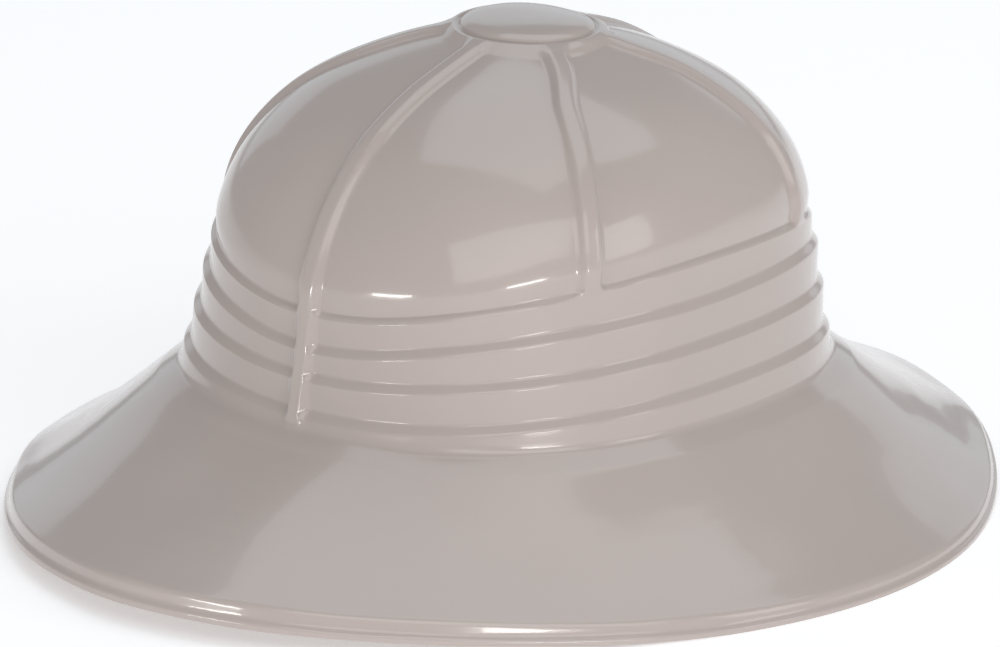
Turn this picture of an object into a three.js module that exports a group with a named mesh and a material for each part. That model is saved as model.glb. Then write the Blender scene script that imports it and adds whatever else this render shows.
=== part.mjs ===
// Pith helmet, thermoformed from one plastic sheet.
//
// The crown, its six ribs, the button on top, the folded band, the strap down the front, the
// brim and its turned-down lip are all drawn into the same sheet, so the helmet is one hollow
// shell. Millimetres, +Z up, front towards -Y. The helmet stands on its trimmed edge at z = 0.

import * as THREE from 'three';
import { mergeVertices } from 'three/addons/utils/BufferGeometryUtils.js';

const SHEET = 1.2;

// The trimmed edge lies flat along both sides and rises towards the front and the back. In plan,
// a lobe above 0 draws an oval out along its axes, and one below 0 fills its quarters.
const EDGE = { long: 161.5, wide: 133.3, lobe: 0.022, rise: 5.7, flatShare: 0.12 };

// The lip is the turned-down border of the brim, tallest at the front.
const LIP = { height: 5.0, frontExtra: 2.0, inset: 1.5, bend: 1.0 };

// Where the crown stands on the brim.
const SEAT = { long: 103.3, wide: 87.8, z: 38.5, fillet: 2.6 };

// The crown's plan, the same at every height.
const CROWN_LOBE = -0.025;

// The folds of the band, from the lowest up. Each row is the foot of one step: its half length
// and half width, its mean height, and how that height varies towards the front, towards both
// ends, and at the quarters between.
const FOLDS = [
  { long: 98.0, wide: 83.8, z: 47.8, front: -0.7, ends: -2.5, quarters: -0.2 },
  { long: 96.5, wide: 81.1, z: 59.6, front: -1.1, ends: -3.2, quarters: -0.5 },
  { long: 94.9, wide: 78.4, z: 70.4, front: -1.5, ends: -4.8, quarters: -1.3 },
  { long: 93.3, wide: 75.6, z: 79.7, front: 0.1, ends: -6.3, quarters: -0.7 },
];
const STEP = { out: 2.0, tall: 2.3 };

// The crown above the band is a superellipse in every upright section. Its rings lie between
// two shares of a quarter turn, and the last stays clear of the button.
const DOME = { top: 133.1, sidePower: 2.73, topPower: 1.88, aft: 4.0, rings: 9 };
const DOME_SPAN = { first: 0.035, last: 0.845 };

// Near the apex the crown rises in a slight peak to the collar that the button stands on.
const PEAK = { lift: 9.0, span: 61.0 };

// The ribs stand a little outside the superellipse, and the panels between them inside it.
const RIB = { count: 6, foot: 7.4, ridge: 4.6, proud: 1.8, raise: 1.2, raiseSpan: 0.15 };
const STRAP = { proud: 1.2, foot: 0.8 };

// The button, from the rounded end of the ribs, over the groove round it, to its domed top.
const BUTTON = [
  { reach: 22.4, z: 137.1 },
  { reach: 20.9, z: 137.5 },
  { reach: 19.9, z: 137.0 },
  { reach: 19.2, z: 137.4 },
  { reach: 18.6, z: 138.5 },
  { reach: 16.4, z: 139.6 },
  { reach: 9.0, z: 140.5 },
];
const BUTTON_TOP = 140.7;
const BRIM = { rings: 3, sag: 1.6 };
const PANEL_COLUMNS = 9;

const TURN = 2 * Math.PI;
const lerp = THREE.MathUtils.lerp;

// A closed plan curve: angle 0 is the front, a quarter turn is the wearer's left at +X.
function planPoint({ long, wide, lobe = 0, aft = 0 }, angle, z) {
  const swell = 1 + lobe * Math.cos(4 * angle);
  return new THREE.Vector3(wide * swell * Math.sin(angle), aft - long * swell * Math.cos(angle), z);
}

function edgeHeight(angle) {
  const reach = (Math.cos(angle) ** 2 - EDGE.flatShare) / (1 - EDGE.flatShare);
  return EDGE.rise * Math.max(0, reach);
}

function lipHeight(angle) {
  return LIP.height + LIP.frontExtra * Math.cos(angle);
}

function foldHeight(fold, angle) {
  return fold.z + fold.front * Math.cos(angle) + fold.ends * Math.cos(2 * angle)
    + fold.quarters * Math.cos(4 * angle);
}

// Each column of the shell keeps its place on every ring: ribs take four columns each, at a
// fixed distance from the rib's centre line, and the panels share the rest evenly.
function columnLayout() {
  const layout = [];
  for (let rib = 0; rib < RIB.count; rib += 1) {
    for (const offset of [-RIB.foot / 2, -RIB.ridge / 2, RIB.ridge / 2, RIB.foot / 2]) {
      layout.push({ rib, offset, share: 0, raised: Math.abs(offset) < RIB.foot / 2 });
    }
    for (let column = 1; column < PANEL_COLUMNS; column += 1) {
      layout.push({ rib, offset: 0, share: column / PANEL_COLUMNS, raised: false });
    }
  }
  return layout;
}
const COLUMNS = columnLayout();

function columnAngle(column, long, wide) {
  const pitch = TURN / RIB.count;
  const centre = column.rib * pitch;
  const pace = (angle) => Math.hypot(wide * Math.cos(angle), long * Math.sin(angle));
  if (column.share === 0) return centre + column.offset / pace(centre);
  const start = centre + RIB.foot / 2 / pace(centre);
  const end = centre + pitch - RIB.foot / 2 / pace(centre + pitch);
  return lerp(start, end, column.share);
}

function ring(size, place) {
  return COLUMNS.map((column) => place(columnAngle(column, size.long, size.wide), column));
}

const onStrap = (column) => column.raised && column.rib === 0;

// ---- brim and lip -----------------------------------------------------------------------

function lipRings() {
  const bottom = ring(EDGE, (angle) => planPoint(EDGE, angle, edgeHeight(angle)));
  const upper = [[1, -LIP.bend], [1 + LIP.bend / LIP.inset, 0]].map(([insetShare, drop]) => {
    const inset = LIP.inset * insetShare;
    const size = { ...EDGE, long: EDGE.long - inset, wide: EDGE.wide - inset };
    return ring(size, (angle) => planPoint(size, angle, edgeHeight(angle) + lipHeight(angle) + drop));
  });
  return [bottom, ...upper];
}

// The brim runs from the lip's bend up to the crown, a little hollow, with a fillet at the top.
function brimRings() {
  const outset = LIP.inset + LIP.bend;
  const outer = { ...EDGE, long: EDGE.long - outset, wide: EDGE.wide - outset };
  const inner = {
    long: SEAT.long + SEAT.fillet,
    wide: SEAT.wide + SEAT.fillet,
    lobe: CROWN_LOBE,
  };
  const rings = [];
  for (let step = 1; step <= BRIM.rings; step += 1) {
    const share = step / BRIM.rings;
    const size = {
      long: lerp(outer.long, inner.long, share),
      wide: lerp(outer.wide, inner.wide, share),
      lobe: lerp(outer.lobe, inner.lobe, share),
    };
    rings.push(ring(size, (angle, column) => {
      const low = edgeHeight(angle) + lipHeight(angle);
      const high = SEAT.z - SEAT.fillet / 3;
      const sag = BRIM.sag * Math.sin(Math.PI * share);
      const lift = onStrap(column) && step === BRIM.rings ? STRAP.foot : 0;
      return planPoint(size, angle, lerp(low, high, share) - sag + lift);
    }));
  }
  return rings;
}

// ---- folded band ------------------------------------------------------------------------

// The strap lies straight over the feet of the folds and covers the steps between them.
function strapReach(z) {
  const lowest = FOLDS[0];
  const highest = FOLDS[FOLDS.length - 1];
  const [low, high] = [foldHeight(lowest, 0), foldHeight(highest, 0)];
  const share = THREE.MathUtils.clamp((z - low) / (high - low), 0, 1);
  return lerp(lowest.long, highest.long, share) + STRAP.proud;
}

function bandRing(size, height) {
  return ring(size, (angle, column) => {
    const z = height(angle);
    const long = onStrap(column) ? Math.max(size.long, strapReach(z)) : size.long;
    return planPoint({ ...size, long, lobe: CROWN_LOBE }, angle, z);
  });
}

function bandRings() {
  const rings = [bandRing(SEAT, () => SEAT.z + SEAT.fillet / 3)];
  const foot = { long: FOLDS[0].long + 1.2, wide: FOLDS[0].wide + 0.6 };
  rings.push(bandRing(foot, () => SEAT.z + SEAT.fillet));
  FOLDS.forEach((fold, index) => {
    rings.push(bandRing(fold, (angle) => foldHeight(fold, angle)));
    if (index === FOLDS.length - 1) return;
    const above = { long: fold.long - STEP.out, wide: fold.wide - STEP.out };
    rings.push(bandRing(above, (angle) => foldHeight(fold, angle) + STEP.tall));
  });
  return rings;
}

// ---- crown, ribs and button -------------------------------------------------------------

// A point on the crown's raised level, at a share of the way in from the band to the apex.
function domePoint(angle, plan) {
  const base = FOLDS[FOLDS.length - 1];
  const climb = Math.acos(Math.pow(plan, DOME.sidePower / 2));
  const rise = Math.pow(Math.sin(climb), 2 / DOME.topPower);
  const low = foldHeight(base, angle);
  const size = {
    long: base.long * plan,
    wide: base.wide * plan,
    lobe: CROWN_LOBE,
    aft: DOME.aft * (1 - plan),
  };
  const point = planPoint(size, angle, lerp(low, DOME.top, rise));
  const radius = Math.hypot(point.x, point.y - DOME.aft);
  point.z += PEAK.lift * Math.max(0, 1 - radius / PEAK.span) ** 2;
  return point;
}

function domeNormal(angle, plan) {
  const nudge = 1e-3;
  const along = domePoint(angle + nudge, plan).sub(domePoint(angle - nudge, plan));
  const inward = domePoint(angle, plan - nudge).sub(domePoint(angle, Math.min(1, plan + nudge)));
  return along.cross(inward).normalize();
}

// The panels between the ribs are sunk below the level of the ribs and the band.
function crownPoint(angle, plan, column) {
  const climb = Math.acos(Math.pow(plan, DOME.sidePower / 2));
  const level = RIB.raise * (onStrap(column) ? 1 : Math.min(1, climb / RIB.raiseSpan));
  const offset = column.raised ? level : level - RIB.proud;
  return domePoint(angle, plan).addScaledVector(domeNormal(angle, plan), offset);
}

function crownRing(plan) {
  const base = FOLDS[FOLDS.length - 1];
  const size = { long: base.long * plan, wide: base.wide * plan };
  return ring(size, (angle, column) => crownPoint(angle, plan, column));
}

function crownRings() {
  const rings = [];
  for (let step = 0; step < DOME.rings; step += 1) {
    const share = lerp(DOME_SPAN.first, DOME_SPAN.last, step / (DOME.rings - 1));
    rings.push(crownRing(Math.pow(Math.cos(share * Math.PI / 2), 2 / DOME.sidePower)));
  }
  return rings;
}

function buttonRings() {
  const rings = BUTTON.map(({ reach, z }) => {
    const size = { long: reach, wide: reach, aft: DOME.aft };
    return ring(size, (angle) => planPoint(size, angle, z));
  });
  return { rings, apex: new THREE.Vector3(0, DOME.aft, BUTTON_TOP) };
}

// ---- shell ------------------------------------------------------------------------------

function outerFace() {
  const button = buttonRings();
  const rings = [...lipRings(), ...brimRings(), ...bandRings(), ...crownRings(), ...button.rings];
  const count = COLUMNS.length;
  const points = [...rings.flat(), button.apex];
  const apex = points.length - 1;
  const faces = [];
  for (let row = 0; row < rings.length; row += 1) {
    for (let column = 0; column < count; column += 1) {
      const here = row * count + column;
      const next = row * count + (column + 1) % count;
      if (row === rings.length - 1) {
        faces.push([here, next, apex]);
      } else {
        faces.push([here, next, next + count], [here, next + count, here + count]);
      }
    }
  }
  return { points, faces, count };
}

function vertexNormals({ points, faces }) {
  const normals = points.map(() => new THREE.Vector3());
  for (const face of faces) {
    const [a, b, c] = face.map((index) => points[index]);
    const normal = b.clone().sub(a).cross(c.clone().sub(a)).normalize();
    face.forEach((index, corner) => {
      const from = points[index];
      const left = points[face[(corner + 1) % 3]].clone().sub(from);
      const right = points[face[(corner + 2) % 3]].clone().sub(from);
      normals[index].addScaledVector(normal, left.angleTo(right));
    });
  }
  return normals.map((normal) => normal.normalize());
}

// The inner face follows the outer one a sheet's thickness inside it, and the trimmed edge
// between them is level from one face to the other.
function shellGeometry() {
  const { points, faces, count } = outerFace();
  const normals = vertexNormals({ points, faces });
  const inner = points.map((point, index) => {
    if (index >= count) return point.clone().addScaledVector(normals[index], -SHEET);
    const level = normals[index].clone().setZ(0).normalize();
    return point.clone().addScaledVector(level, -SHEET);
  });
  const shift = points.length;
  const triangles = [...faces, ...faces.map(([a, b, c]) => [a + shift, c + shift, b + shift])];
  for (let column = 0; column < count; column += 1) {
    const next = (column + 1) % count;
    triangles.push([column, column + shift, next + shift], [column, next + shift, next]);
  }
  const corners = [...points, ...inner];
  const geometry = new THREE.BufferGeometry();
  const positions = corners.flatMap((corner) => corner.toArray());
  geometry.setAttribute('position', new THREE.Float32BufferAttribute(positions, 3));
  geometry.setIndex(triangles.flat());
  return mergeVertices(geometry, 1e-4);
}

const plastic = new THREE.MeshStandardMaterial({ color: 0xc0b3ad, roughness: 0.22, metalness: 0 });

const helmet = new THREE.Group();
const shell = new THREE.Mesh(shellGeometry(), plastic);
shell.name = 'helmet_shell';
helmet.add(shell);

export default helmet;
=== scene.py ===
"""Looks of the pith helmet: one glossy plastic sheet, drawn over a mould and trimmed.

Sizes are in millimetres in the classes and become metres when a mesh is made. The helmet's
front is towards -Y, its left is at +X, and it stands on its trimmed edge at height 0.
"""

import logging
import math
from dataclasses import dataclass, field
from enum import Enum
from typing import Any, Callable, Union

import bpy
import numpy as np
from mathutils import Matrix, Vector


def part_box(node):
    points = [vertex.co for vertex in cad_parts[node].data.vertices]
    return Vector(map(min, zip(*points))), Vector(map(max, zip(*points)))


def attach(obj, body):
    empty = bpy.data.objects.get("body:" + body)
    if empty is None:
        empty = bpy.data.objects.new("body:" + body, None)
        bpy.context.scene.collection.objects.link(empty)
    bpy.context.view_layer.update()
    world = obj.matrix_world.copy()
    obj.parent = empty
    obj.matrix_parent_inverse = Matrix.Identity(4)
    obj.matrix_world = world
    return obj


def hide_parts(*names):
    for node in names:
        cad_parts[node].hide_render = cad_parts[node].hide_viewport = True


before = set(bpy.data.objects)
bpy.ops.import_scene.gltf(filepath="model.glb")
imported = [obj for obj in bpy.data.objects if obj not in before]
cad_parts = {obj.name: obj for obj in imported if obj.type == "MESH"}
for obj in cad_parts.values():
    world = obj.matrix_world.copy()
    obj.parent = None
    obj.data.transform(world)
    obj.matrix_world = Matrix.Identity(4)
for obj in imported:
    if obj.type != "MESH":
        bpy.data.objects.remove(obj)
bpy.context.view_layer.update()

SHELL_NODE = "helmet_shell"
MM = 0.001
TURN = 2.0 * math.pi
LOG = logging.getLogger("pith_helmet")

Number = Union[int, float]
Points = np.ndarray


class Axis(Enum):
    """The three axes of the helmet's frame, as indices of a point."""

    SIDE = 0
    LENGTH = 1
    UP = 2


# ---- small shape helpers ------------------------------------------------------------------


def smooth(value: Points) -> Points:
    """Return a value held between 0 and 1 with level ends."""
    held = np.clip(value, 0.0, 1.0)
    return held * held * (3.0 - 2.0 * held)


def mix(low: Any, high: Any, share: Any) -> Any:
    """Return the value a share of the way from low to high."""
    return low + (high - low) * share


def corner_distance(first: Points, second: Points, radius: float) -> Points:
    """Return the distance inside a corner whose two sides are given, rounded to a radius.

    Args:
        first: Distance inside the first side.
        second: Distance inside the second side.
        radius: Radius of the rounded corner.

    Returns:
        The distance inside the rounded outline.
    """
    rounded = radius - np.hypot(np.maximum(radius - first, 0.0), np.maximum(radius - second, 0.0))
    near = (first < radius) & (second < radius)
    return np.where(near, rounded, np.minimum(first, second))


def grid_normals(points: Points) -> Points:
    """Return outward unit normals of rings of points that close on themselves.

    Args:
        points: Array of rows by columns by 3, rows from the edge up, columns anticlockwise.

    Returns:
        An array of the same shape.
    """
    along = np.roll(points, -1, axis=1) - np.roll(points, 1, axis=1)
    climb = np.gradient(points, axis=0)
    normals = np.cross(along, climb)
    return normals / np.maximum(np.linalg.norm(normals, axis=2, keepdims=True), 1e-9)


# ---- the mould ----------------------------------------------------------------------------


@dataclass
class Plan:
    """A closed plan curve: half length, half width, fullness of its quarters and shift aft."""

    long: float
    wide: float
    lobe: float = 0.0
    aft: float = 0.0

    def at(self, angle: Points, height: Any) -> Points:
        """Return the points of the curve.

        Args:
            angle: Angles from the front, towards the wearer's left.
            height: Height of the points, one for all or one each.

        Returns:
            An array of points, one for each angle.
        """
        swell = 1.0 + self.lobe * np.cos(4.0 * angle)
        return np.stack(
            [
                self.wide * swell * np.sin(angle),
                self.aft - self.long * swell * np.cos(angle),
                np.broadcast_to(height, angle.shape),
            ],
            axis=-1,
        )

    def pace(self, angle: Any) -> Any:
        """Return how far the curve runs for each radian at an angle."""
        return np.hypot(self.wide * np.cos(angle), self.long * np.sin(angle))


@dataclass
class Fold:
    """The foot of one step of the band, with its height at the front, ends and quarters."""

    long: float
    wide: float
    z: float
    front: float
    ends: float
    quarters: float

    def height(self, angle: Points) -> Points:
        """Return the height of the fold line at each angle."""
        waves = self.front * np.cos(angle) + self.ends * np.cos(2.0 * angle)
        return self.z + waves + self.quarters * np.cos(4.0 * angle)


@dataclass
class Corner:
    """One control ring of the profile: its points, how it is rounded, and the rows after it."""

    points: Points
    radius: float
    rows: int
    arc_rows: int = 4


@dataclass
class Mould:
    """The form that the sheet is drawn over."""

    half_length: float
    half_width: float
    height: float
    edge_lobe: float = 0.022
    edge_rise: float = 5.7
    edge_flat_share: float = 0.12
    lip_height: float = 5.0
    lip_front_extra: float = 2.0
    lip_inset: float = 1.5
    lip_bend: float = 1.0
    lip_bead: float = 0.35
    brim_sag: float = 1.6
    seat_long: float = 103.3
    seat_wide: float = 87.8
    seat_z: float = 38.5
    seat_fillet: float = 2.6
    crown_lobe: float = -0.025
    folds: list[Fold] = field(
        default_factory=lambda: [
            Fold(long=98.0, wide=83.8, z=47.8, front=-0.7, ends=-2.5, quarters=-0.2),
            Fold(long=96.5, wide=81.1, z=59.6, front=-1.1, ends=-3.2, quarters=-0.5),
            Fold(long=94.9, wide=78.4, z=70.4, front=-1.5, ends=-4.8, quarters=-1.3),
            Fold(long=93.3, wide=75.6, z=79.7, front=0.1, ends=-6.3, quarters=-0.7),
        ]
    )
    step_out: float = 2.0
    step_tall: float = 2.3
    dome_top: float = 133.1
    side_power: float = 2.73
    top_power: float = 1.88
    dome_aft: float = 4.0
    peak_lift: float = 9.0
    peak_span: float = 61.0
    round_from: float = 0.60
    round_to: float = 0.28
    rib_count: int = 6
    rib_ridge: float = 2.0
    rib_slope: float = 2.0
    rib_proud: float = 1.8
    rib_raise: float = 1.2
    raise_span: float = 0.15
    panel_corner: float = 3.2
    strap_proud: float = 1.2
    button_collar: float = 22.3
    rib_columns: int = 12
    panel_columns: int = 22
    rib_reach: float = 4.9
    wave_height: float = 0.09
    wave_seed: int = 11
    sheet: float = 1.2

    @property
    def columns(self) -> int:
        """Number of columns round the helmet."""
        return self.rib_count * (self.rib_columns + self.panel_columns)

    @property
    def rim(self) -> Plan:
        """Plan of the trimmed edge, sized so that its ends meet the helmet's own box."""
        swell = 1.0 + self.edge_lobe
        return Plan(self.half_length / swell, self.half_width / swell, self.edge_lobe)

    def angles(self, plan: Plan) -> Points:
        """Return the angle of every column on a ring, with the rib columns set close together.

        Args:
            plan: The ring's plan curve.

        Returns:
            Rising angles, starting at the first rib's near side.
        """
        pitch = TURN / self.rib_count
        angles = []
        for rib in range(self.rib_count):
            centre = rib * pitch
            half = min(self.rib_reach / float(plan.pace(centre)), pitch * 0.3)
            ahead = min(self.rib_reach / float(plan.pace(centre + pitch)), pitch * 0.3)
            across = np.linspace(-half, half, self.rib_columns, endpoint=False)
            between = np.linspace(half, pitch - ahead, self.panel_columns, endpoint=False)
            angles.append(centre + np.concatenate([across, between]))
        return np.concatenate(angles)

    def rib_distance(self, plan: Plan, angle: Points) -> Points:
        """Return the distance along a ring from each angle to the nearest rib's centre line."""
        pitch = TURN / self.rib_count
        centre = np.round(angle / pitch) * pitch
        return np.abs(angle - centre) * plan.pace((angle + centre) / 2.0)

    def edge_height(self, angle: Points) -> Points:
        """Return the height of the trimmed edge, level at the sides and raised at both ends."""
        reach = (np.cos(angle) ** 2 - self.edge_flat_share) / (1.0 - self.edge_flat_share)
        return self.edge_rise * np.maximum(reach, 0.0) ** 1.1

    def lip_top(self, angle: Points) -> Points:
        """Return the height at which the lip bends into the brim."""
        return self.edge_height(angle) + self.lip_height + self.lip_front_extra * np.cos(angle)

    def brim_corners(self) -> list[Corner]:
        """Return the control rings of the lip and the brim."""
        rim = self.rim
        angle = self.angles(rim)
        low, high = self.edge_height(angle), self.lip_top(angle)

        def inset(amount: float, height: Points) -> Points:
            """Return the rim drawn in by an amount, at a height."""
            return Plan(rim.long - amount, rim.wide - amount, rim.lobe).at(angle, height)

        bead = mix(low, high, 0.26)
        waist = mix(low, high, 0.42)
        corners = [
            Corner(inset(0.0, low), 0.0, 2),
            Corner(inset(self.lip_bead * 0.2, bead), 0.5, 1, 3),
            Corner(inset(self.lip_inset * 0.55 + self.lip_bead, waist), 0.6, 2, 3),
            Corner(inset(self.lip_inset + self.lip_bead, high - 0.2), 1.3, 1, 6),
        ]
        return corners + self.brim_rings(high)

    def brim_rings(self, low: Points) -> list[Corner]:
        """Return the rings of the sloping brim, from the lip's bend to near the crown."""
        rim = self.rim
        start = self.lip_inset + self.lip_bend + self.lip_bead
        fillet = self.seat_fillet
        rings = 7
        corners = []
        for step in range(1, rings + 1):
            share = step / rings
            plan = Plan(
                mix(rim.long - start, self.seat_long + fillet, share),
                mix(rim.wide - start, self.seat_wide + fillet, share),
                mix(rim.lobe, self.crown_lobe, share),
            )
            angle = self.angles(plan)
            edge = self.lip_top(angle)
            sag = self.brim_sag * math.sin(math.pi * share)
            height = mix(edge, self.seat_z - fillet / 3.0, share) - sag
            corners.append(Corner(plan.at(angle, height), 0.0, 3, 0))
        return corners

    def crown_plan(self, long: float, wide: float, aft: float = 0.0) -> Plan:
        """Return a plan curve with the crown's fullness."""
        return Plan(long, wide, self.crown_lobe, aft)

    def strap_mask(self, plan: Plan, angle: Points, flare: float) -> Points:
        """Return 1 on the front strap, 0 off it, and between the two on its sides.

        Args:
            plan: The ring's plan curve.
            angle: The ring's angles.
            flare: How much wider than a rib the strap is on each side here.

        Returns:
            The mask at each angle.
        """
        wrapped = np.abs((angle + math.pi) % TURN - math.pi)
        distance = wrapped * plan.pace(0.0)
        return 1.0 - smooth((distance - self.rib_ridge - flare) / self.rib_slope)

    def strap_reach(self, height: Points) -> Points:
        """Return how far forward the strap's face is at a height."""
        low = self.folds[0].height(np.zeros(1))[0]
        high = self.folds[-1].height(np.zeros(1))[0]
        share = np.clip((height - low) / (high - low), 0.0, 1.0)
        reach = mix(self.folds[0].long, self.folds[-1].long, share)
        return reach + self.strap_proud

    def band_ring(self, plan: Plan, height: Callable[[Points], Points], flare: float) -> Points:
        """Return one ring of the band, with the strap laid over it at the front."""
        angle = self.angles(plan)
        heights = height(angle)
        points = plan.at(angle, heights)
        proud = np.maximum(self.strap_reach(heights) - plan.long, 0.0)
        lift = proud * self.strap_mask(plan, angle, flare)
        points[:, Axis.LENGTH.value] -= lift * (1.0 + self.crown_lobe)
        return points

    def band_corners(self) -> list[Corner]:
        """Return the control rings from the brim's fillet up to the highest fold line."""
        seat = self.crown_plan(self.seat_long, self.seat_wide)
        foot = self.crown_plan(self.folds[0].long + 1.0, self.folds[0].wide + 0.5)
        level = self.seat_z + self.seat_fillet / 3.0

        def flat(height: float) -> Callable[[Points], Points]:
            """Return a height that is the same at every angle."""
            return lambda angle: np.full(angle.shape, height)

        corners = [
            Corner(self.band_ring(seat, flat(level), 1.8), 2.2, 1, 5),
            Corner(self.band_ring(foot, flat(level + 2.4), 0.9), 1.6, 2, 4),
        ]
        for index, fold in enumerate(self.folds):
            line = self.crown_plan(fold.long, fold.wide)
            corners.append(Corner(self.band_ring(line, fold.height, 0.0), 0.5, 1, 5))
            if index < len(self.folds) - 1:
                above = self.crown_plan(fold.long - self.step_out, fold.wide - self.step_out)
                top = lambda angle, fold=fold: fold.height(angle) + self.step_tall
                corners.append(Corner(self.band_ring(above, top, 0.0), 0.6, 2, 5))
        return corners

    def dome_ring(self, share: float) -> tuple[Points, Plan, Points]:
        """Return a ring of the crown's raised level.

        Args:
            share: Share of the band's plan that the ring keeps, 1 at the band, 0 at the apex.

        Returns:
            The ring's points, its plan curve and its angles.
        """
        base = self.folds[-1]
        aft = self.dome_aft * (1.0 - share)
        roundness = float(smooth((self.round_from - share) / (self.round_from - self.round_to)))
        middle = (base.long + base.wide) / 2.0
        plan = Plan(
            share * mix(base.long, middle, roundness),
            share * mix(base.wide, middle, roundness),
            self.crown_lobe * (1.0 - roundness),
            aft,
        )
        angle = self.angles(plan)
        points = plan.at(angle, 0.0)
        side, length = points[:, 0] / base.wide, (aft - points[:, 1]) / base.long
        bearing = np.arctan2(side, length)
        kept = np.hypot(side, length) / (1.0 + self.crown_lobe * np.cos(4.0 * bearing))
        climb = np.arccos(np.minimum(kept, 1.0) ** (self.side_power / 2.0))
        rise = np.sin(climb) ** (2.0 / self.top_power)
        radius = np.hypot(points[:, 0], points[:, 1] - self.dome_aft)
        peak = self.peak_lift * np.maximum(1.0 - radius / self.peak_span, 0.0) ** 2
        points[:, 2] = mix(base.height(bearing), self.dome_top, rise) + peak
        return points, plan, angle

    def dome_shares(self) -> list[float]:
        """Return the plan shares of the crown's rows, closest where the panels' steps are."""
        near_band = np.linspace(0.012, 0.075, 12)
        over = np.linspace(0.09, 0.80, 34)
        near_top = np.linspace(0.812, 0.891, 12)
        climbs = np.concatenate([near_band, over, near_top]) * math.pi / 2.0
        return [float(math.cos(climb) ** (2.0 / self.side_power)) for climb in climbs]

    def crown_rows(self) -> Points:
        """Return the rows of the crown, with its panels sunk between ribs, band and collar."""
        rows, ribs, levels = [], [], []
        for share in self.dome_shares():
            points, plan, angle = self.dome_ring(share)
            rows.append(points)
            climb = math.acos(share ** (self.side_power / 2.0))
            ramp = min(1.0, climb / self.raise_span)
            levels.append(self.rib_raise * mix(ramp, 1.0, self.strap_mask(plan, angle, 0.0)))
            ribs.append(self.rib_distance(plan, angle))
        points = np.stack(rows)
        base = self.dome_ring(1.0)[0]
        steps = np.linalg.norm(np.diff(np.concatenate([base[None], points]), axis=0), axis=2)
        above_band = np.cumsum(steps, axis=0)
        apex = np.array([0.0, self.dome_aft])
        from_collar = np.linalg.norm(points[..., :2] - apex, axis=2) - self.button_collar
        inside = corner_distance(np.stack(ribs) - self.rib_ridge, above_band, self.panel_corner)
        inside = corner_distance(inside, from_collar, self.panel_corner)
        sink = self.rib_proud * smooth(inside / self.rib_slope)
        level = np.stack(levels) - sink
        return points + grid_normals(points) * level[..., None]

    def button_corners(self) -> list[Corner]:
        """Return the control rings of the collar and the button."""
        profile = [
            (21.5, 3.05, 0.0, 1, 0),
            (20.6, 2.95, 0.8, 1, 4),
            (19.9, 3.65, 0.7, 0, 4),
            (19.2, 3.15, 0.5, 1, 3),
            (18.6, 2.05, 1.6, 1, 6),
            (16.0, 1.05, 2.8, 2, 5),
            (10.0, 0.32, 3.5, 2, 5),
            (5.0, 0.08, 0.0, 3, 0),
            (1.8, 0.02, 0.0, 1, 0),
        ]
        corners = []
        for reach, drop, round_to, rows, arc_rows in profile:
            plan = Plan(reach, reach, 0.0, self.dome_aft)
            ring = plan.at(self.angles(plan), self.height - drop)
            corners.append(Corner(ring, round_to, rows, arc_rows))
        return corners

    def surface(self) -> Points:
        """Return the outer face as rows by columns by 3, from the edge up, in millimetres."""
        below = profile_rows(self.brim_corners() + self.band_corners())
        above = profile_rows(self.button_corners())
        points = np.concatenate([below, self.crown_rows(), above])
        return points + grid_normals(points) * self.waves(points)[..., None]

    def waves(self, points: Points) -> Points:
        """Return the slight unevenness of a drawn sheet at each point."""
        chance = np.random.default_rng(self.wave_seed)
        total = np.zeros(points.shape[:2])
        for length in np.linspace(24.0, 75.0, 14):
            way = chance.normal(size=3)
            way *= TURN / length / np.linalg.norm(way)
            total += np.sin(points @ way + chance.uniform(0.0, TURN)) * length / 50.0
        above_edge = smooth(points[..., Axis.UP.value] / 8.0)
        return total * self.wave_height * above_edge


def profile_rows(corners: list[Corner]) -> Points:
    """Return the rows of a profile whose control rings are rounded.

    Args:
        corners: The control rings in order.

    Returns:
        Rows by columns by 3.
    """
    rows: list[Points] = []
    starts: list[Points] = []
    ends: list[Points] = []
    for index, corner in enumerate(corners):
        before = corners[index - 1].points if index else corner.points
        after = corners[index + 1].points if index + 1 < len(corners) else corner.points
        starts.append(toward(corner.points, before, corner.radius))
        ends.append(toward(corner.points, after, corner.radius))
    for index, corner in enumerate(corners):
        rows.append(starts[index])
        for step in range(1, corner.arc_rows + 1 if corner.radius else 0):
            share = step / corner.arc_rows
            entry = mix(starts[index], corner.points, share)
            leave = mix(corner.points, ends[index], share)
            rows.append(mix(entry, leave, share))
        if index + 1 < len(corners):
            for step in range(1, corner.rows + 1):
                rows.append(mix(ends[index], starts[index + 1], step / (corner.rows + 1)))
    return np.stack(rows)


def toward(points: Points, other: Points, distance: float) -> Points:
    """Return points moved towards others by a distance, at most nearly half way."""
    gap = np.linalg.norm(other - points, axis=-1, keepdims=True)
    share = np.where(gap > 0.0, np.minimum(distance / np.maximum(gap, 1e-6), 0.48), 0.0)
    return mix(points, other, share)


# ---- the shell ----------------------------------------------------------------------------


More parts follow.
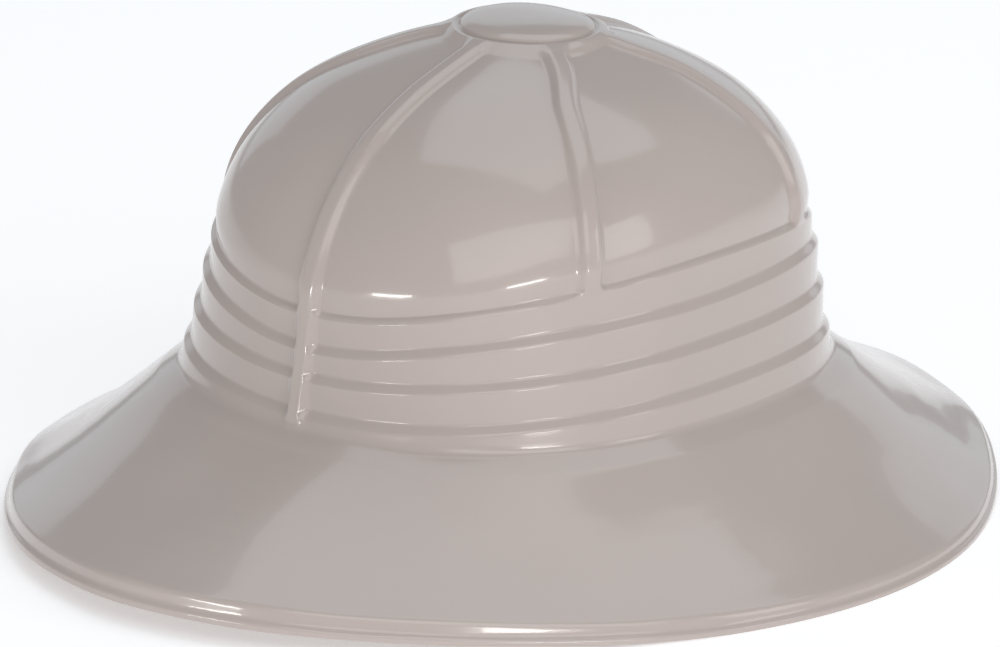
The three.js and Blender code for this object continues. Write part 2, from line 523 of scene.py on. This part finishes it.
@dataclass
class Shell:
    """The drawn and trimmed sheet: its mesh."""

    mould: Mould
    name: str = "helmet_shell_drawn"

    def rings(self) -> Points:
        """Return the outer face's rows in metres."""
        return self.mould.surface() * MM

    def draw_up(self, rows: Points) -> bpy.types.Object:
        """Make the plain hollow form: a ring, extruded and narrowed row by row up to the apex.

        Args:
            rows: The outer face's rows, from which each row's mean size is taken.

        Returns:
            The new object, with one vertex a column in each row and one at the apex.
        """
        low, high = rows.min(axis=1), rows.max(axis=1)
        half = (high - low) / 2.0
        centre = (high + low) / 2.0
        height = rows[..., Axis.UP.value].mean(axis=1)
        bpy.ops.object.select_all(action="DESELECT")
        bpy.ops.mesh.primitive_circle_add(vertices=rows.shape[1], radius=1.0)
        ring = bpy.context.object
        ring.name = self.name
        bpy.ops.object.mode_set(mode="EDIT")
        bpy.ops.mesh.select_all(action="SELECT")
        bpy.ops.transform.resize(value=(half[0][0], half[0][1], 1.0))
        bpy.ops.transform.translate(value=(0.0, centre[0][1], height[0]))
        for row in range(1, len(rows)):
            rise = (0.0, centre[row][1] - centre[row - 1][1], height[row] - height[row - 1])
            bpy.ops.mesh.extrude_region_move(TRANSFORM_OT_translate={"value": rise})
            narrow = (half[row][0] / half[row - 1][0], half[row][1] / half[row - 1][1], 1.0)
            middle = (0.0, centre[row][1], height[row])
            bpy.ops.transform.resize(value=narrow, center_override=middle)
        bpy.ops.mesh.extrude_region_move(TRANSFORM_OT_translate={"value": (0.0, 0.0, 0.0)})
        bpy.ops.mesh.merge(type="CENTER")
        bpy.ops.object.mode_set(mode="OBJECT")
        return ring


    def settle(self, shell: bpy.types.Object, rows: Points) -> None:
        """Lay the plain form on the mould: every vertex goes to its row's and column's place.

        Args:
            shell: The object that draw_up made.
            rows: The outer face's rows in metres.
        """
        count = rows.shape[1]
        mesh = shell.data
        points = np.empty(len(mesh.vertices) * 3)
        mesh.vertices.foreach_get("co", points)
        points = points.reshape(-1, 3)
        for row, target in enumerate(rows):
            block = points[row * count : (row + 1) * count]
            middle = (block.max(axis=0) + block.min(axis=0)) / 2.0
            half = (block.max(axis=0) - block.min(axis=0)) / 2.0
            angle = np.arctan2((block[:, 0] - middle[0]) / half[0], (middle[1] - block[:, 1]) / half[1])
            order = np.argsort(np.mod(angle + 1e-6, TURN))
            columns = (np.arange(count) + self.mould.rib_columns // 2) % count
            block[order] = target[columns]
        points[-1] = (0.0, self.mould.dome_aft * MM, self.mould.height * MM)
        mesh.vertices.foreach_set("co", points.ravel())
        mesh.update()

    def thicken(self, shell: bpy.types.Object) -> None:
        """Give the sheet its thickness inwards, with a level trimmed edge, slightly rounded.

        Args:
            shell: The settled outer face.
        """
        wall = shell.modifiers.new("sheet", "SOLIDIFY")
        wall.thickness = self.mould.sheet * MM
        wall.offset = -1.0
        bpy.ops.object.modifier_apply(modifier=wall.name)
        self.ease_inner_face(shell)
        trim = shell.modifiers.new("trim", "BEVEL")
        trim.width = 0.22 * MM
        trim.segments = 2
        trim.limit_method = "ANGLE"
        trim.angle_limit = math.radians(50.0)
        bpy.ops.object.modifier_apply(modifier=trim.name)

    def ease_inner_face(self, shell: bpy.types.Object) -> None:
        """Move the inner face along eased normals, so that it stays clean inside tight bends.

        Args:
            shell: The thickened sheet, whose second half of vertices is the inner face.
        """
        mesh = shell.data
        points = np.empty(len(mesh.vertices) * 3)
        mesh.vertices.foreach_get("co", points)
        points = points.reshape(-1, 3)
        outer = len(points) // 2
        columns = self.mould.columns
        grid = points[: outer - 1].reshape(-1, columns, 3)
        rank = np.argsort(np.mod(self.base_angles(grid[0]), TURN))
        ordered = grid[:, rank]
        normals = self.eased_normals(ordered)
        normals[0, :, Axis.UP.value] = 0.0
        normals /= np.linalg.norm(normals, axis=2, keepdims=True)
        inner = ordered - normals * self.mould.sheet * MM
        back = np.empty_like(inner)
        back[:, rank] = inner
        points[outer : 2 * outer - 1] = back.reshape(-1, 3)
        points[-1] = points[outer - 1] - (0.0, 0.0, self.mould.sheet * MM)
        mesh.vertices.foreach_set("co", points.ravel())
        mesh.update()

    def base_angles(self, ring: Points) -> Points:
        """Return the angle of each point of a ring about the helmet's axis, from the front."""
        return np.arctan2(ring[:, 0], -ring[:, 1])

    def eased_normals(self, rows: Points) -> Points:
        """Return normals averaged over a few millimetres up the rows and across the columns."""
        normals = grid_normals(rows)
        steps = np.linalg.norm(np.diff(rows, axis=0), axis=2).mean(axis=1)
        run = np.concatenate([[0.0], np.cumsum(steps)])
        weight = np.exp(-(((run[:, None] - run[None]) / (1.6 * MM)) ** 2) / 2.0)
        weight *= np.gradient(run)[None]
        weight /= weight.sum(axis=1, keepdims=True)
        eased = np.tensordot(weight, normals, axes=(1, 0))
        for _ in range(2):
            eased = (np.roll(eased, 1, axis=1) + 2.0 * eased + np.roll(eased, -1, axis=1)) / 4.0
        return eased / np.linalg.norm(eased, axis=2, keepdims=True)

    def build(self) -> bpy.types.Object:
        """Build the whole shell and return it, smooth and with its faces outwards."""
        rows = self.rings()
        shell = self.draw_up(rows)
        bpy.ops.object.mode_set(mode="EDIT")
        bpy.ops.mesh.select_all(action="SELECT")
        bpy.ops.mesh.normals_make_consistent(inside=False)
        bpy.ops.object.mode_set(mode="OBJECT")
        bpy.ops.object.transform_apply(location=True, rotation=True, scale=True)
        self.settle(shell, rows)
        self.thicken(shell)
        bpy.ops.object.shade_smooth_by_angle(angle=math.radians(40.0))
        LOG.info("%s: %d faces", shell.name, len(shell.data.polygons))
        return shell


# ---- finishes -----------------------------------------------------------------------------


class Sock:
    """A shader socket, or a number, that takes part in arithmetic by adding Math nodes."""

    def __init__(self, graph: "Graph", link: bpy.types.NodeSocket) -> None:
        """Wrap a node's output socket."""
        self.graph = graph
        self.link = link

    def math(self, kind: str, *others: Any) -> "Sock":
        """Return the result of a Math node of a kind, on this socket and others."""
        values = {index: value for index, value in enumerate((self, *others))}
        return self.graph.node("ShaderNodeMath", {"operation": kind}, values)

    def __add__(self, other: Any) -> "Sock":
        """Add."""
        return self.math("ADD", other)

    __radd__ = __add__

    def __mul__(self, other: Any) -> "Sock":
        """Multiply."""
        return self.math("MULTIPLY", other)

    __rmul__ = __mul__

    def __sub__(self, other: Any) -> "Sock":
        """Subtract."""
        return self.math("SUBTRACT", other)

    def __rsub__(self, other: Any) -> "Sock":
        """Subtract this from a number."""
        return self.graph.node("ShaderNodeMath", {"operation": "SUBTRACT"}, {0: other, 1: self})


class Graph:
    """A material's nodes."""

    def __init__(self, name: str) -> None:
        """Start a new material with only its output."""
        self.material = bpy.data.materials.new(name)
        self.material.use_nodes = True
        self.tree = self.material.node_tree
        self.tree.nodes.clear()
        self.output = self.tree.nodes.new("ShaderNodeOutputMaterial")

    def node(self, kind: str, settings: dict[str, Any], values: dict[Any, Any], out: Any = 0) -> Sock:
        """Add a node.

        Args:
            kind: The node's type.
            settings: Attributes of the node, set before its sockets.
            values: Values or links for its input sockets, by name or index.
            out: The output that is wanted, by name or index.

        Returns:
            The wanted output.
        """
        made = self.tree.nodes.new(kind)
        for key, value in settings.items():
            if key == "stops":
                self.set_stops(made, value)
            else:
                setattr(made, key, value)
        for key, value in values.items():
            if isinstance(value, Sock):
                self.tree.links.new(value.link, made.inputs[key])
            else:
                made.inputs[key].default_value = value
        return Sock(self, made.outputs[out])

    @staticmethod
    def set_stops(ramp: bpy.types.Node, stops: list[tuple[float, tuple[float, ...]]]) -> None:
        """Set a colour ramp's stops, given as places and colours."""
        elements = ramp.color_ramp.elements
        while len(elements) < len(stops):
            elements.new(0.5)
        for element, (place, colour) in zip(elements, stops):
            element.position = place
            element.color = colour


@dataclass(frozen=True)
class DrawnPlastic:
    """Glossy plastic sheet, with the faint unevenness that drawing leaves."""

    name: str = "taupe_plastic"
    tone: tuple[float, float, float, float] = (0.470, 0.402, 0.374, 1.0)
    tone_thin: tuple[float, float, float, float] = (0.495, 0.427, 0.398, 1.0)
    gloss: float = 0.115
    gloss_spread: float = 0.07
    peel_depth: float = 0.012
    wave_depth: float = 0.35

    def noise(self, graph: Graph, place: Sock, scale: float, detail: float) -> Sock:
        """Return noise of a scale, in waves per metre."""
        values = {"Vector": place, "Scale": scale, "Detail": detail, "Roughness": 0.5}
        return graph.node("ShaderNodeTexNoise", {}, values, "Fac")

    def make(self) -> bpy.types.Material:
        """Return the material."""
        graph = Graph(self.name)
        place = graph.node("ShaderNodeTexCoord", {}, {}, "Object")
        broad = self.noise(graph, place, 22.0, 2.0)
        fine = self.noise(graph, place, 160.0, 3.0)
        peel = self.noise(graph, place, 900.0, 2.0)
        blend = {"data_type": "RGBA"}
        colours = {"Factor": broad, "A": self.tone, "B": self.tone_thin}
        colour = self.mix_colour(graph, blend, colours)
        rough = self.gloss + fine * broad * (self.gloss_spread * 2.0)
        height = peel * self.peel_depth + broad * self.wave_depth
        bump = graph.node("ShaderNodeBump", {}, {"Height": height, "Distance": MM, "Strength": 1.0}, 0)
        shader = graph.node(
            "ShaderNodeBsdfPrincipled",
            {},
            {
                "Base Color": colour,
                "Roughness": rough,
                "IOR": 1.5,
                "Coat Weight": 0.3,
                "Coat Roughness": 0.03,
                "Normal": bump,
            },
        )
        graph.tree.links.new(shader.link, graph.output.inputs["Surface"])
        return graph.material

    @staticmethod
    def mix_colour(graph: Graph, settings: dict[str, Any], values: dict[str, Any]) -> Sock:
        """Return two colours mixed by a factor."""
        by_index = {0: values["Factor"], 6: values["A"], 7: values["B"]}
        return graph.node("ShaderNodeMix", settings, by_index, 2)


@dataclass(frozen=True)
class PaleFloor:
    """A matt, very pale studio floor."""

    name: str = "pale_floor"
    tone: tuple[float, float, float, float] = (0.86, 0.86, 0.87, 1.0)

    def make(self) -> bpy.types.Material:
        """Return the material."""
        graph = Graph(self.name)
        place = graph.node("ShaderNodeTexCoord", {}, {}, "Object")
        grain = graph.node("ShaderNodeTexNoise", {}, {"Vector": place, "Scale": 60.0}, "Fac")
        rough = 0.62 + grain * 0.1
        values = {"Base Color": self.tone, "Roughness": rough, "Specular IOR Level": 0.2}
        values.update({"Emission Color": (1.0, 1.0, 1.0, 1.0), "Emission Strength": 0.38})
        shader = graph.node("ShaderNodeBsdfPrincipled", {}, values)
        graph.tree.links.new(shader.link, graph.output.inputs["Surface"])
        return graph.material


# ---- studio -------------------------------------------------------------------------------


@dataclass
class Softbox:
    """A rectangular soft light aimed at the helmet."""

    name: str
    azimuth: float
    elevation: float
    distance: float
    width: float
    height: float
    power: float
    colour: tuple[float, float, float] = (1.0, 1.0, 1.0)

    def place(self, centre: Vector) -> bpy.types.Object:
        """Add the light, aimed at a point.

        Args:
            centre: The point that the light faces.

        Returns:
            The light's object.
        """
        turn, lift = math.radians(self.azimuth), math.radians(self.elevation)
        away = Vector(
            (math.sin(turn) * math.cos(lift), -math.cos(turn) * math.cos(lift), math.sin(lift))
        )
        bpy.ops.object.light_add(type="AREA", location=centre + away * self.distance)
        lamp = bpy.context.object
        lamp.name = self.name
        lamp.data.shape = "RECTANGLE"
        lamp.data.size = self.width
        lamp.data.size_y = self.height
        lamp.data.energy = self.power
        lamp.data.color = self.colour
        lamp.rotation_mode = "QUATERNION"
        lamp.rotation_quaternion = away.to_track_quat("Z", "Y")
        return lamp


@dataclass
class Studio:
    """The floor, the lights and the camera."""

    centre: Vector
    azimuth: float = 38.3
    elevation: float = 17.2
    roll: float = 1.76
    distance: float = 3.531
    lens: float = 447.7
    aim: tuple[float, float] = (-0.00503, -0.01323)
    look_at: tuple[float, float, float] = (0.0, 0.00331, 0.0634)

    def camera(self) -> bpy.types.Object:
        """Add the camera at the helmet's three-quarter view, and make it the scene's."""
        turn, lift = math.radians(self.azimuth), math.radians(self.elevation)
        back = Vector(
            (math.sin(turn) * math.cos(lift), -math.cos(turn) * math.cos(lift), math.sin(lift))
        )
        right = Vector((math.cos(turn), math.sin(turn), 0.0))
        up = back.cross(right)
        tilt = math.radians(self.roll)
        level = right * math.cos(tilt) + up * math.sin(tilt)
        upright = up * math.cos(tilt) - right * math.sin(tilt)
        target = Vector(self.look_at) + level * self.aim[0] + upright * self.aim[1]
        bpy.ops.object.camera_add(location=target + back * self.distance)
        camera = bpy.context.object
        turn_to = Matrix((level, upright, back)).transposed()
        camera.rotation_mode = "QUATERNION"
        camera.rotation_quaternion = turn_to.to_quaternion()
        camera.data.lens = self.lens
        camera.data.sensor_width = 36.0
        camera.data.clip_end = 50.0
        bpy.context.scene.camera = camera
        return camera

    def floor(self) -> bpy.types.Object:
        """Add the pale floor that the helmet stands on."""
        bpy.ops.mesh.primitive_plane_add(size=14.0, location=(0.0, 0.0, 0.0))
        floor = bpy.context.object
        floor.name = "studio_floor"
        floor.data.materials.append(PaleFloor().make())
        return floor

    def lights(self) -> None:
        """Add the soft lights and the pale surroundings."""
        boxes = [
            Softbox("low_left", -3.0, 0.8, 1.3, 0.40, 0.08, 2.2, (1.0, 0.99, 0.97)),
            Softbox("low_right", 68.0, 0.8, 1.3, 0.40, 0.08, 2.2, (1.0, 0.99, 0.97)),
            Softbox("front_fill", 56.0, 34.0, 2.4, 2.6, 1.3, 14.5, (1.0, 0.995, 0.985)),
            Softbox("right_box", 107.0, 16.0, 1.5, 0.45, 0.6, 1.6, (1.0, 0.98, 0.96)),
            Softbox("overhead", 190.0, 74.0, 1.8, 1.8, 1.4, 8.5, (0.90, 0.96, 1.0)),
            Softbox("backdrop", 218.0, 15.0, 2.2, 3.2, 0.9, 4.6, (0.82, 0.92, 1.0)),
        ]
        for box in boxes:
            box.place(self.centre)
        world = bpy.data.worlds.new("surroundings")
        bpy.context.scene.world = world
        world.use_nodes = True
        shade = world.node_tree.nodes["Background"]
        shade.inputs["Color"].default_value = (0.96, 0.98, 1.0, 1.0)
        shade.inputs["Strength"].default_value = 0.38


def main() -> None:
    """Build and dress the helmet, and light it."""
    logging.basicConfig(level=logging.INFO, format="%(name)s: %(message)s")
    low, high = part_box(SHELL_NODE)
    half = (high - low) / 2.0 / MM
    mould = Mould(half_length=half.y, half_width=half.x, height=high.z / MM)
    shell = Shell(mould).build()
    shell.data.materials.append(DrawnPlastic().make())
    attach(shell, "root")
    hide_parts(SHELL_NODE)
    studio = Studio(centre=(low + high) / 2.0)
    studio.floor()
    studio.lights()
    studio.camera()
    bpy.context.scene.view_settings.view_transform = "Standard"


if __name__ == "__main__":
    main()
